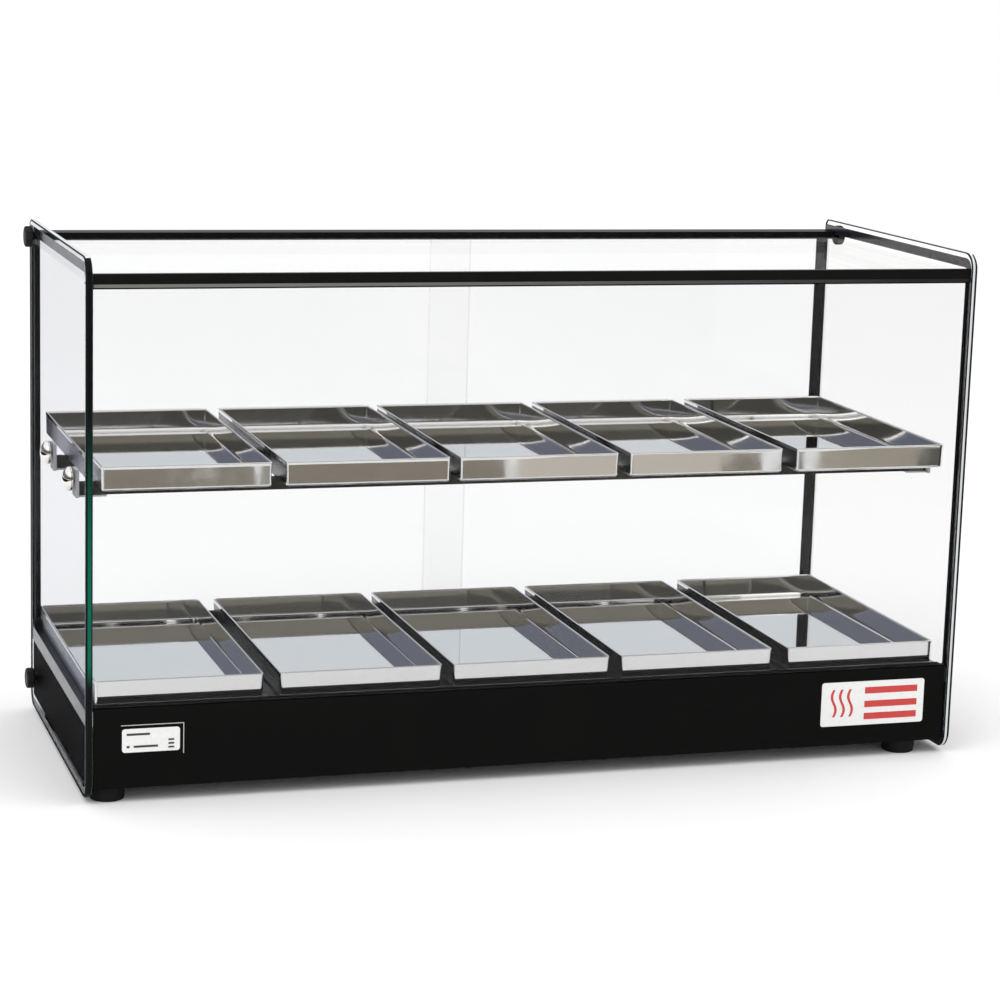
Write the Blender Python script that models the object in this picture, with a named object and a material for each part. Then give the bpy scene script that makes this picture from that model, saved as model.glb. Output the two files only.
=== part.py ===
"""Countertop glass food warmer: a black heated base, a glass case with two sliding rear
doors, two rows of loose steel trays, one on the heated deck and one on cross rails.

Lengths are in millimetres and become metres when a mesh is made. X runs along the width,
Y from the customer's side (front) to the operator's side (rear), Z up from the table.
"""

import math

import bmesh
import bpy
from mathutils import Matrix, Vector

MM = 0.001
GAP = 0.3

# Case
WIDTH = 840.0
DEPTH = 342.0
PANEL_HEIGHT = 481.5
PANEL_BOTTOM = 4.5
FOOT_HEIGHT = 14.0
SIDE_GLASS = 6.0
FIXED_GLASS = 5.0
DOOR_GLASS = 4.0
CORNER_RADIUS = 15.0
REAR_TOP_RADIUS = 6.0
FRONT = -DEPTH / 2
BOTTOM = FOOT_HEIGHT
TOP = PANEL_BOTTOM + PANEL_HEIGHT
INSIDE = WIDTH / 2 - SIDE_GLASS
REACH = INSIDE - 2 * GAP

# Fixed glass panes
FRONT_GLASS_FACE = 5.6
FRONT_GLASS_TOP = 461.7
TOP_GLASS_LEVEL = 464.0
TOP_GLASS_FRONT = 6.7
TOP_GLASS_REAR = 316.2

# Base
SHEET = 1.5
SHELL_SIDE = INSIDE - 1.6
SHELL_FRONT = 3.2
SHELL_REAR = 338.5
SHELL_TOP = BOTTOM + 73.0
LEDGE_REAR = 20.5
SIDE_WALL_TOP = 83.4
BOTTOM_FLANGE = 20.0
COVER_THICKNESS = 1.2
DECK_SHEET = 1.0
DECK_TOP = BOTTOM + 70.7
DECK_FRONT = 5.0
DECK_REAR = 341.4
DECK_SKIRT = 13.7
REFLECTOR_LEVEL = 40.0
REFLECTOR_RIM = 15.0

# Control panel, set back between the shell's side walls
PANEL_FACE = 309.5
PANEL_SPAN = SHELL_SIDE - SHEET - GAP
CONTROL_LEVEL = 50.0
DIAL_X = 250.0
LAMP_X = 200.0
SWITCH_X = 150.0
GLAND_X = -330.0
ROCKER_REST_TILT = -10.0
SWITCH_BODY = (13.4, 15.6)
SWITCH_RIM = (15.4, 17.6)
SWITCH_POCKET = (9.4, 12.6)
ROCKER_HALF_WIDTH = 8.8

# Trays
TRAY_WIDTH = 153.0
TRAY_DEPTH = 299.5
TRAY_HEIGHT = 22.7
TRAY_SHEET = 1.2
TRAY_FRONT = 22.3
LOWER_TRAY_LEFTS = (-408.3, -240.9, -77.6, 86.5, 255.1)
UPPER_TRAY_LEFTS = (-402.8, -237.9, -76.0, 88.0, 254.6)
LOWER_TRAY_BOTTOM = DECK_TOP + GAP
UPPER_TRAY_BOTTOM = BOTTOM + 264.2

# Cross rails of the upper row, their end brackets, and the domed studs through the side glass
RAIL_PLACES = {"front": 72.0, "rear": 205.0}
RAIL_WIDTH = 12.0
RAIL_HEIGHT = 10.4
RAIL_WALL = 1.5
RAIL_TOP = UPPER_TRAY_BOTTOM - GAP
BRACKET_PLATE = 3.0
BRACKET_WIDTH = 20.0
BRACKET_SEAT = 20.0
STUD_LEVEL = BOTTOM + 267.6
STUD_RADIUS = 11.0
STUD_SHANK = 4.0

# Thumb knobs that hold the rear rail and the base to the side glass
KNOB_PLACE = 320.0
KNOB_LEVELS = {"top": 471.0, "bottom": 35.0}
KNOB_RADIUS = 10.0
KNOB_HEIGHT = 8.0
KNOB_SHANK = 2.5

# Rear doors, their two grooves (front faces) and their finger rings
GROOVE = 5.0
INNER_GROOVE = 323.3
OUTER_GROOVE = 329.3
DOOR_OVERLAP = 44.0
DOOR_BOTTOM = 86.6
DOOR_TOP = 471.8
PULL_X = 340.0
PULL_LEVEL = 260.0
PULL_RADIUS = 20.0
PULL_HOLE = 13.5
TRACK_TOP = 92.0
TOP_RAIL_BOTTOM = 467.5
TOP_RAIL_TOP = 475.0
GROOVE_CEILING = 472.6
FRAME_REAR = 341.7
POST_FRONT = 335.6
POST_WIDTH = 8.6

# Feet, as (x, distance from the front)
FEET = {
    "front_left": (-397.0, 24.0),
    "front_right": (377.0, 24.0),
    "rear_left": (-397.0, 258.0),
    "rear_right": (377.0, 258.0),
}
FOOT_RADIUS = 16.0
SCREW_X = 402.0
SCREW_PLACE = 155.0
SCREW_SHANK = 2.0

# Label plates on the base's front, as (x, z) of the lower left and upper right corners
LABELS = {
    "left": ((-387.3, 46.6), (-335.5, 68.2)),
    "right": ((284.2, 33.0), (391.2, 76.2)),
}

SIGN = {"left": -1, "right": 1}
STEPS = 24


def clear_scene():
    for obj in list(bpy.data.objects):
        bpy.data.objects.remove(obj, do_unlink=True)


def make_material(name, colour, roughness, metallic, alpha=1.0):
    material = bpy.data.materials.new(name)
    material.use_nodes = True
    shader = material.node_tree.nodes["Principled BSDF"]
    shader.inputs["Base Color"].default_value = (*colour, 1.0)
    shader.inputs["Roughness"].default_value = roughness
    shader.inputs["Metallic"].default_value = metallic
    shader.inputs["Alpha"].default_value = alpha
    material.diffuse_color = (*colour, alpha)
    return material


def y_at(distance):
    """World Y of a place given as its distance from the front edge of the side glass."""
    return FRONT + distance


def arc(centre, radius, start, end, steps=5):
    """Points along an arc, from one angle in degrees to another."""
    turns = (math.radians(start + (end - start) * i / steps) for i in range(steps + 1))
    return [(centre[0] + radius * math.cos(t), centre[1] + radius * math.sin(t)) for t in turns]


def rounded_box_outline(low, high, radius, steps=3):
    """Corners of an upright rectangle, anticlockwise from the lower left, as arcs."""
    (x0, y0), (x1, y1) = low, high
    return (
        arc((x0 + radius, y0 + radius), radius, 180, 270, steps)
        + arc((x1 - radius, y0 + radius), radius, 270, 360, steps)
        + arc((x1 - radius, y1 - radius), radius, 0, 90, steps)
        + arc((x0 + radius, y1 - radius), radius, 90, 180, steps)
    )


def add_object(name, bm, material=None, origin=(0.0, 0.0, 0.0), smooth_angle=None):
    """An object whose mesh is the bmesh, with its origin at a point given in millimetres."""
    origin = Vector(origin)
    bmesh.ops.remove_doubles(bm, verts=bm.verts, dist=1e-4)
    bmesh.ops.recalc_face_normals(bm, faces=bm.faces)
    bmesh.ops.translate(bm, verts=bm.verts, vec=-origin)
    bmesh.ops.scale(bm, verts=bm.verts, vec=(MM, MM, MM))
    mesh = bpy.data.meshes.new(name)
    bm.to_mesh(mesh)
    bm.free()
    obj = bpy.data.objects.new(name, mesh)
    obj.location = origin * MM
    bpy.context.scene.collection.objects.link(obj)
    if material:
        mesh.materials.append(material)
    if smooth_angle:
        mesh.shade_smooth()
        mesh.set_sharp_from_angle(angle=math.radians(smooth_angle))
    return obj


def add_box(bm, low, high, bevel=0.0):
    made = bmesh.ops.create_cube(bm, size=1.0)["verts"]
    centre = [(a + b) / 2 for a, b in zip(low, high)]
    size = [b - a for a, b in zip(low, high)]
    place = Matrix.Translation(centre) @ Matrix.Diagonal((*size, 1))
    bmesh.ops.transform(bm, verts=made, matrix=place)
    if bevel:
        edges = {edge for vert in made for edge in vert.link_edges}
        bmesh.ops.bevel(bm, geom=list(edges), offset=bevel, segments=1, affect="EDGES")


def add_prism(bm, outline, axis, start, end):
    """An outline drawn in the two other axes, in X, Y, Z order, extruded along an axis."""
    place = {
        "x": lambda a, b, t: (t, a, b),
        "y": lambda a, b, t: (a, t, b),
        "z": lambda a, b, t: (a, b, t),
    }[axis]
    ends = [[bm.verts.new(place(a, b, t)) for a, b in outline] for t in (start, end)]
    for ring in ends:
        bm.faces.new(ring)
    for i in range(len(outline)):
        j = (i + 1) % len(outline)
        bm.faces.new((ends[0][i], ends[0][j], ends[1][j], ends[1][i]))


def add_turned(bm, profile, base, direction, steps=STEPS, closed=False):
    """A profile of (radius, height) turned about an axis that starts at base."""
    turn = Vector(direction).to_track_quat("Z", "Y").to_matrix()
    rings = []
    for radius, height in profile:
        count = steps if radius > 0 else 1
        angles = (2 * math.pi * i / steps for i in range(count))
        spots = (Vector((radius * math.cos(a), radius * math.sin(a), height)) for a in angles)
        rings.append([bm.verts.new(Vector(base) + turn @ spot) for spot in spots])
    pairs = list(zip(rings, rings[1:]))
    if closed:
        pairs.append((rings[-1], rings[0]))
    for lower, upper in pairs:
        for i in range(steps):
            corners = [lower[i % len(lower)], lower[(i + 1) % len(lower)]]
            corners += [upper[(i + 1) % len(upper)], upper[i % len(upper)]]
            bm.faces.new(dict.fromkeys(corners))


def box_object(name, low, high, material=None, bevel=0.0):
    bm = bmesh.new()
    add_box(bm, low, high, bevel)
    return add_object(name, bm, material)


def prism_object(name, outline, axis, start, end, material=None):
    bm = bmesh.new()
    add_prism(bm, outline, axis, start, end)
    return add_object(name, bm, material)


def turned_object(name, profile, base, direction, material=None, **options):
    bm = bmesh.new()
    add_turned(bm, profile, base, direction, **options)
    return add_object(name, bm, material, origin=base, smooth_angle=35)


def combine(obj, helper, operation):
    """A live Boolean with a helper that isn't part of the model."""
    helper.hide_render = True
    helper.display_type = "WIRE"
    modifier = obj.modifiers.new(helper.name, "BOOLEAN")
    modifier.operation = operation
    modifier.solver = "EXACT"
    modifier.object = helper


def join_boxes(name, boxes, material):
    """Overlapping boxes made one body. The first carries the name."""
    obj = box_object(name, *boxes[0], material)
    for i, box in enumerate(boxes[1:], 1):
        combine(obj, box_object(f"{name}_piece_{i}", *box), "UNION")
    return obj


def drill(obj, centre, axis, radius, length, steps=16):
    """A round hole along an axis, centred at a point."""
    direction = Vector([axis == name for name in "xyz"])
    base = Vector(centre) - direction * length / 2
    profile = [(0, 0), (radius, 0), (radius, length), (0, length)]
    count = sum(modifier.type == "BOOLEAN" for modifier in obj.modifiers)
    cutter = turned_object(f"{obj.name}_drill_{count}", profile, base, direction, steps=steps)
    combine(obj, cutter, "DIFFERENCE")


def make_side_glass(glass):
    rear = y_at(DEPTH)
    low = PANEL_BOTTOM + CORNER_RADIUS
    outline = arc((FRONT + CORNER_RADIUS, low), CORNER_RADIUS, 180, 270)
    outline += arc((rear - CORNER_RADIUS, low), CORNER_RADIUS, 270, 360)
    outline += arc((rear - REAR_TOP_RADIUS, TOP - REAR_TOP_RADIUS), REAR_TOP_RADIUS, 0, 90)
    outline += arc((FRONT + CORNER_RADIUS, TOP - CORNER_RADIUS), CORNER_RADIUS, 90, 180)
    for side, sign in SIGN.items():
        name = f"side_glass_{side}"
        pane = prism_object(name, outline, "x", sign * INSIDE, sign * WIDTH / 2, glass)
        middle = sign * (INSIDE + SIDE_GLASS / 2)
        for distance in RAIL_PLACES.values():
            drill(pane, (middle, y_at(distance), STUD_LEVEL), "x", STUD_SHANK + 0.5, 10)
        for level in KNOB_LEVELS.values():
            drill(pane, (middle, y_at(KNOB_PLACE), level), "x", KNOB_SHANK + 0.8, 10)


def make_fixed_glass(glass):
    low = (-REACH, y_at(FRONT_GLASS_FACE), SHELL_TOP + GAP)
    high = (REACH, y_at(FRONT_GLASS_FACE + FIXED_GLASS), FRONT_GLASS_TOP)
    box_object("front_glass", low, high, glass, bevel=0.5)
    low = (-REACH, y_at(TOP_GLASS_FRONT), TOP_GLASS_LEVEL)
    high = (REACH, y_at(TOP_GLASS_REAR), TOP_GLASS_LEVEL + FIXED_GLASS)
    box_object("top_glass", low, high, glass)


def make_top_rails(aluminium):
    """The front rail holds the front and top glass, the rear one has the doors' grooves."""
    front = [(3.2, 471.6), (3.2, 463.6), (4.4, 458.3), (5.2, 458.3), (5.2, 462.0)]
    front += [(10.9, 462.0), (10.9, 458.3), (12.4, 458.3), (12.4, 462.0), (16.0, 462.0)]
    front += [(16.0, 463.6), (6.2, 463.6), (6.2, 469.4), (16.0, 469.4), (16.0, 470.8), (8.0, 471.6)]
    outline = [(y_at(d), z) for d, z in front]
    prism_object("front_top_rail", outline, "x", -REACH, REACH, aluminium)

    low, ceiling = TOP_RAIL_BOTTOM, GROOVE_CEILING
    rear = [(316.5, TOP_RAIL_TOP), (316.5, low)]
    for start in (INNER_GROOVE, OUTER_GROOVE, OUTER_GROOVE + GROOVE + 1.0):
        end = min(start + GROOVE, FRAME_REAR - SHEET)
        rear += [(start, low), (start, ceiling), (end, ceiling), (end, low)]
    rear += [(FRAME_REAR, low), (FRAME_REAR, TOP_RAIL_TOP)]
    outline = [(y_at(d), z) for d, z in rear]
    rail = prism_object("rear_top_rail", outline, "x", -REACH, REACH, aluminium)
    for sign in SIGN.values():
        end = (sign * REACH, y_at(KNOB_PLACE), KNOB_LEVELS["top"])
        drill(rail, end, "x", KNOB_SHANK + GAP, 30)


def make_rear_frame(aluminium):
    low, floor, high = DECK_TOP + GAP, DECK_TOP + SHEET, TRACK_TOP
    front, rear = INNER_GROOVE - 1.0, OUTER_GROOVE + GROOVE + 1.0
    track = [(front, low), (rear, low), (rear, high)]
    for start in (OUTER_GROOVE, INNER_GROOVE):
        end = start + GROOVE
        track += [(end, high), (end, floor), (start, floor), (start, high)]
    track += [(front, high)]
    outline = [(y_at(d), z) for d, z in track]
    prism_object("rear_bottom_track", outline, "x", -REACH, REACH, aluminium)
    leaf, rear = REACH - POST_WIDTH, FRAME_REAR - SHEET
    angle = [(REACH, POST_FRONT), (REACH, FRAME_REAR), (leaf, FRAME_REAR)]
    angle += [(leaf, rear), (REACH - SHEET, rear), (REACH - SHEET, POST_FRONT)]
    for side, sign in SIGN.items():
        outline = [(sign * x, y_at(d)) for x, d in angle]
        name = f"rear_post_{side}"
        prism_object(name, outline, "z", DECK_TOP + GAP, TOP_RAIL_BOTTOM - GAP, aluminium)


def make_doors(glass, plastic):
    """The left door runs in the outer groove, the right one in the inner groove."""
    clearance = (GROOVE - DOOR_GLASS) / 2
    starts = {"left": OUTER_GROOVE + clearance, "right": INNER_GROOVE + clearance}
    lip = DOOR_GLASS / 2 + 0.2
    face = lip + 0.6
    ring = [(PULL_HOLE, -face), (PULL_RADIUS, -face), (PULL_RADIUS, -lip), (PULL_RADIUS - 3.3, -lip)]
    ring += [(PULL_RADIUS - 3.3, lip), (PULL_RADIUS, lip), (PULL_RADIUS, face), (PULL_HOLE, face)]
    for side, sign in SIGN.items():
        ends = sorted((sign * (INSIDE - 2.0), -sign * DOOR_OVERLAP / 2))
        front = y_at(starts[side])
        low = (ends[0], front, DOOR_BOTTOM)
        high = (ends[1], front + DOOR_GLASS, DOOR_TOP)
        door = box_object(f"sliding_door_{side}", low, high, glass)
        centre = (sign * PULL_X, front + DOOR_GLASS / 2, PULL_LEVEL)
        drill(door, centre, "y", PULL_RADIUS - 3.0, 10, steps=STEPS)
        turned_object(f"door_pull_{side}", ring, centre, (0, 1, 0), plastic, closed=True)


def make_shelf(steel, chrome):
    """Two inverted channels that carry the upper trays, each end on a bracket's seat."""
    outer, low = RAIL_WIDTH / 2, RAIL_TOP - RAIL_HEIGHT
    inner, ceiling = outer - RAIL_WALL, RAIL_TOP - RAIL_WALL
    channel = [(-outer, low), (-outer, RAIL_TOP), (outer, RAIL_TOP), (outer, low)]
    channel += [(inner, low), (inner, ceiling), (-inner, ceiling), (-inner, low)]
    dome = [(0, -9), (STUD_SHANK, -9), (STUD_SHANK, GAP), (9.6, GAP), (STUD_RADIUS, 1.8)]
    dome += [(10.7, 4.2), (9.4, 6.6), (7.0, 8.5), (3.8, 9.6), (0, 9.9)]
    plate_outer = INSIDE - GAP
    plate_inner = plate_outer - BRACKET_PLATE
    rail_end = plate_inner - GAP
    seat_top = low - GAP
    for place, distance in RAIL_PLACES.items():
        y = y_at(distance)
        outline = [(y + d, z) for d, z in channel]
        prism_object(f"shelf_rail_{place}", outline, "x", -rail_end, rail_end, steel)
        for side, sign in SIGN.items():
            plate = sorted((sign * plate_outer, sign * plate_inner))
            seat = sorted((sign * plate_outer, sign * (plate_inner - BRACKET_SEAT)))
            half = BRACKET_WIDTH / 2
            boxes = [((plate[0], y - half, seat_top - RAIL_WALL), (plate[1], y + half, STUD_LEVEL + 9))]
            boxes += [((seat[0], y - outer, seat_top - RAIL_WALL), (seat[1], y + outer, seat_top))]
            bracket = join_boxes(f"shelf_bracket_{place}_{side}", boxes, steel)
            drill(bracket, (sign * plate_outer, y, STUD_LEVEL), "x", STUD_SHANK + GAP, 10)
            base = (sign * WIDTH / 2, y, STUD_LEVEL)
            turned_object(f"shelf_stud_{place}_{side}", dome, base, (sign, 0, 0), chrome)


def make_glass_knobs(plastic):
    body = [(0, -14), (KNOB_SHANK, -14), (KNOB_SHANK, GAP), (KNOB_RADIUS - 1, GAP)]
    body += [(KNOB_RADIUS, 1.2), (KNOB_RADIUS, KNOB_HEIGHT - 1.5)]
    body += [(KNOB_RADIUS - 1.5, KNOB_HEIGHT), (0, KNOB_HEIGHT)]
    for end, level in KNOB_LEVELS.items():
        for side, sign in SIGN.items():
            base = (sign * WIDTH / 2, y_at(KNOB_PLACE), level)
            turned_object(f"glass_knob_{end}_{side}", body, base, (sign, 0, 0), plastic)


def make_base_shell(paint):
    x, front, rear = SHELL_SIDE, y_at(SHELL_FRONT), y_at(SHELL_REAR)
    low = BOTTOM + SHEET
    boxes = [((-x, front, BOTTOM), (x, front + SHEET, SHELL_TOP))]
    boxes += [((-x, front, SHELL_TOP - SHEET), (x, y_at(LEDGE_REAR), SHELL_TOP))]
    boxes += [((-x, front, low), (x, front + BOTTOM_FLANGE, low + SHEET))]
    for sign in SIGN.values():
        wall = sorted((sign * x, sign * (x - SHEET)))
        flange = sorted((sign * x, sign * (x - BOTTOM_FLANGE)))
        boxes += [((wall[0], front, BOTTOM), (wall[1], rear, SIDE_WALL_TOP))]
        boxes += [((flange[0], front, low), (flange[1], rear, low + SHEET))]
    shell = join_boxes("base_shell", boxes, paint)
    for sign in SIGN.values():
        drill(shell, (sign * SCREW_X, y_at(SCREW_PLACE), low), "z", SCREW_SHANK + GAP, 8, steps=12)
        side_hole = (sign * x, y_at(KNOB_PLACE), KNOB_LEVELS["bottom"])
        drill(shell, side_hole, "x", KNOB_SHANK + GAP, 10)


def make_deck(steel):
    x, front, rear = INSIDE - GAP, y_at(DECK_FRONT), y_at(DECK_REAR)
    skirt = DECK_TOP - DECK_SKIRT
    boxes = [((-x, front, DECK_TOP - DECK_SHEET), (x, rear, DECK_TOP))]
    for sign in SIGN.values():
        ends = sorted((sign * x, sign * (x - DECK_SHEET)))
        boxes += [((ends[0], front, skirt), (ends[1], rear, DECK_TOP))]
    boxes += [((-x, rear - DECK_SHEET, skirt), (x, rear, DECK_TOP))]
    join_boxes("base_deck", boxes, steel)


def make_bottom(paint, steel, rubber):
    x = SHELL_SIDE - SHEET - GAP
    low = (-x, y_at(SHELL_FRONT + SHEET + GAP), BOTTOM)
    high = (x, y_at(PANEL_FACE), BOTTOM + COVER_THICKNESS)
    cover = box_object("bottom_cover", low, high, paint)
    screw = [(0, -2.2), (2.6, -2.2), (3.8, -1.4), (4.0, -GAP), (SCREW_SHANK, -GAP)]
    screw += [(SCREW_SHANK, 5.0), (0, 5.0)]
    for side, sign in SIGN.items():
        spot = (sign * SCREW_X, y_at(SCREW_PLACE), BOTTOM)
        drill(cover, spot, "z", SCREW_SHANK + GAP, 8, steps=12)
        turned_object(f"cover_screw_{side}", screw, spot, (0, 0, 1), steel, steps=12)
    top = BOTTOM - GAP
    foot = [(0, 6), (5, 6), (5, 0), (14.6, 0), (15.2, 0.8), (FOOT_RADIUS, top - 1.5)]
    foot += [(FOOT_RADIUS - 0.6, top), (0, top)]
    for corner, (fx, distance) in FEET.items():
        turned_object(f"foot_{corner}", foot, (fx, y_at(distance), 0), (0, 0, 1), rubber)


def make_control_panel(paint):
    rear, front = y_at(PANEL_FACE), y_at(PANEL_FACE - SHEET)
    low, high = BOTTOM + 3 * SHEET, SIDE_WALL_TOP
    span = SHELL_SIDE - BOTTOM_FLANGE - GAP
    boxes = [((-PANEL_SPAN, front, low), (PANEL_SPAN, rear, high))]
    boxes += [((-span, rear - BOTTOM_FLANGE, BOTTOM + SHEET), (span, rear, low))]
    for sign in SIGN.values():
        ends = sorted((sign * PANEL_SPAN, sign * (PANEL_SPAN - SHEET)))
        boxes += [((ends[0], rear - BOTTOM_FLANGE, low), (ends[1], rear, high))]
    panel = join_boxes("control_panel", boxes, paint)
    half_width, half_height = SWITCH_BODY[0] + GAP, SWITCH_BODY[1] + GAP
    window_low = (SWITCH_X - half_width, front - 5, CONTROL_LEVEL - half_height)
    window_high = (SWITCH_X + half_width, rear + 5, CONTROL_LEVEL + half_height)
    combine(panel, box_object("switch_window", window_low, window_high), "DIFFERENCE")
    for hole_x, radius in ((DIAL_X, 6.0), (LAMP_X, 6.3), (GLAND_X, 8.3)):
        drill(panel, (hole_x, rear, CONTROL_LEVEL), "y", radius, 20)


def make_thermostat(plastic):
    face, level = y_at(PANEL_FACE), CONTROL_LEVEL
    inside = face - SHEET - GAP
    low, high = (DIAL_X - 22, inside - 28, level - 20), (DIAL_X + 22, inside, level + 20)
    block = box_object("thermostat_body", low, high, plastic, bevel=1.5)
    bushing = [(0, -4), (5.2, -4), (5.2, 3.2), (3.0, 3.2), (3.0, 15.0), (0, 15.0)]
    neck = turned_object("thermostat_bushing", bushing, (DIAL_X, inside, level), (0, 1, 0))
    combine(block, neck, "UNION")

    dial = [(0, 14), (3.3, 14), (3.3, 0), (18, 0), (18, 2.5), (15.5, 4), (14.5, 15.5), (13, 17), (0, 17)]
    knob = turned_object("thermostat_knob", dial, (DIAL_X, face + 2.2, level), (0, 1, 0), plastic)
    low, high = (DIAL_X - 1.2, face + 18, level + 1), (DIAL_X + 1.2, face + 20.2, level + 13)
    combine(knob, box_object("dial_pointer", low, high), "UNION")


def block_about(half_size, front, rear):
    """Corners of a block centred on the switch."""
    low = (SWITCH_X - half_size[0], front, CONTROL_LEVEL - half_size[1])
    high = (SWITCH_X + half_size[0], rear, CONTROL_LEVEL + half_size[1])
    return low, high


def make_switch(plastic):
    face = y_at(PANEL_FACE)
    boxes = [block_about(SWITCH_BODY, face - 24, face + 2.0)]
    boxes += [block_about(SWITCH_RIM, face + GAP, face + 2.3)]
    housing = join_boxes("switch_housing", boxes, plastic)
    pocket = box_object("rocker_pocket", *block_about(SWITCH_POCKET, face - 9, face + 9))
    combine(housing, pocket, "DIFFERENCE")

    pivot = (SWITCH_X, face - 1.0, CONTROL_LEVEL)
    profile = [(-4.0, -6.0), (-4.0, 6.0), (0.5, 11.0), (6.6, 11.4)]
    profile += [(4.4, 0.0), (6.6, -11.4), (0.5, -11.0)]
    bm = bmesh.new()
    outline = [(pivot[1] + y, pivot[2] + z) for y, z in profile]
    add_prism(bm, outline, "x", SWITCH_X - ROCKER_HALF_WIDTH, SWITCH_X + ROCKER_HALF_WIDTH)
    rocker = add_object("switch_rocker", bm, plastic, origin=pivot)
    rocker.rotation_euler.x = math.radians(ROCKER_REST_TILT)


def make_electrical_fittings(plastic, ceramic, lamp_lens):
    """The pilot lamp, the supply cord's gland and the terminal block behind it."""
    face, level = y_at(PANEL_FACE), CONTROL_LEVEL
    lamp = [(0, -20), (5.8, -20), (5.8, GAP), (8, GAP), (8, 1.8)]
    lamp += [(6.4, 2.0), (5.8, 4.6), (3.6, 6.8), (0, 7.6)]
    turned_object("pilot_lamp", lamp, (LAMP_X, face, level), (0, 1, 0), lamp_lens)

    gland = [(4.2, -9), (7.9, -9), (7.9, GAP), (11, GAP), (11, 5)]
    gland += [(9.2, 6), (8.4, 15), (6, 17), (4.2, 17)]
    spot = (GLAND_X, face, level)
    turned_object("cable_gland", gland, spot, (0, 1, 0), plastic, closed=True)

    top = 33.0
    low = (-345.0, y_at(200.0), BOTTOM + COVER_THICKNESS + GAP)
    terminal = box_object("terminal_block", low, (-295.0, y_at(222.0), top), ceramic, bevel=1.0)
    for i in range(3):
        drill(terminal, (-334.0 + 14.0 * i, y_at(211.0), top), "z", 3.5, 10, steps=10)


def sweep(bm, path, radius, steps=8):
    """A round bar along a level path of points."""
    rings = []
    for i, point in enumerate(path):
        before, after = path[max(i - 1, 0)], path[min(i + 1, len(path) - 1)]
        along = (Vector(after) - Vector(before)).normalized()
        across = Vector((-along.y, along.x, 0))
        spots = []
        for k in range(steps):
            angle = 2 * math.pi * k / steps
            spoke = across * math.cos(angle) + Vector((0, 0, math.sin(angle)))
            spots.append(Vector(point) + radius * spoke)
        rings.append([bm.verts.new(spot) for spot in spots])
    bm.faces.new(rings[0])
    bm.faces.new(rings[-1])
    for first, second in zip(rings, rings[1:]):
        for k in range(steps):
            j = (k + 1) % steps
            bm.faces.new((first[k], first[j], second[j], second[k]))


def make_heater(steel, aluminium):
    x, level = PANEL_SPAN, REFLECTOR_LEVEL
    front, rear = y_at(30.0), y_at(274.0)
    boxes = [((-x, front, level), (x, rear, level + DECK_SHEET))]
    for sign in SIGN.values():
        ends = sorted((sign * x, sign * (x - DECK_SHEET)))
        boxes += [((ends[0], front, level), (ends[1], rear, level + REFLECTOR_RIM))]
    join_boxes("heat_reflector", boxes, aluminium)

    height, bend, end_x, bar = 58.0, 70.0, 360.0, 4.0
    middle = y_at(155.0)
    turn = arc((-250.0, middle), bend, 90, 270, 10)
    path = [(end_x, middle + bend, height)] + [(px, py, height) for px, py in turn]
    path += [(end_x, middle - bend, height)]
    bm = bmesh.new()
    sweep(bm, path, bar)
    add_object("heating_element", bm, steel, smooth_angle=60)

    foot_low = level + DECK_SHEET + GAP
    seat = height - bar - GAP
    reach = bend + 20.0
    for side, centre in {"left": -180.0, "right": 220.0}.items():
        x0, x1 = centre - 7, centre + 7
        boxes = [((x0, middle - reach, seat - SHEET), (x1, middle + reach, seat))]
        for sign in SIGN.values():
            leg = sorted((middle + sign * reach, middle + sign * (reach - SHEET)))
            toe = sorted((middle + sign * (reach - 1), middle + sign * (reach + 15)))
            boxes += [((x0, leg[0], foot_low), (x1, leg[1], seat))]
            boxes += [((x0, toe[0], foot_low), (x1, toe[1], foot_low + SHEET))]
        join_boxes(f"element_bracket_{side}", boxes, aluminium)


def make_labels(white):
    face = y_at(SHELL_FRONT) - GAP
    for side, (low, high) in LABELS.items():
        outline = rounded_box_outline(low, high, 2.5)
        prism_object(f"label_plate_{side}", outline, "y", face - 0.4, face, white)


def add_pan(bm, left, front, bottom):
    """An open tray: outline rings that climb the outside and go back down the inside."""
    rings = [(4.0, 0.0), (1.2, 1.1), (0.0, 4.0), (0.0, TRAY_HEIGHT)]
    rings += [(TRAY_SHEET, TRAY_HEIGHT), (TRAY_SHEET, 4.4), (2.2, 2.2), (4.6, TRAY_SHEET)]
    made = []
    for inset, height in rings:
        low = (left + inset, front + inset)
        high = (left + TRAY_WIDTH - inset, front + TRAY_DEPTH - inset)
        outline = rounded_box_outline(low, high, max(4.0 - inset, 0.6))
        made.append([bm.verts.new((x, y, bottom + height)) for x, y in outline])
    bm.faces.new(made[0])
    bm.faces.new(made[-1])
    for lower, upper in zip(made, made[1:]):
        for i in range(len(lower)):
            j = (i + 1) % len(lower)
            bm.faces.new((lower[i], lower[j], upper[j], upper[i]))


def make_trays(steel):
    rows = {
        "lower": (LOWER_TRAY_LEFTS, LOWER_TRAY_BOTTOM),
        "upper": (UPPER_TRAY_LEFTS, UPPER_TRAY_BOTTOM),
    }
    for row, (lefts, bottom) in rows.items():
        for number, left in enumerate(lefts, 1):
            bm = bmesh.new()
            add_pan(bm, left, y_at(TRAY_FRONT), bottom)
            origin = (left + TRAY_WIDTH / 2, y_at(TRAY_FRONT + TRAY_DEPTH / 2), bottom)
            add_object(f"tray_{row}_{number}", bm, steel, origin=origin, smooth_angle=50)


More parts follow.
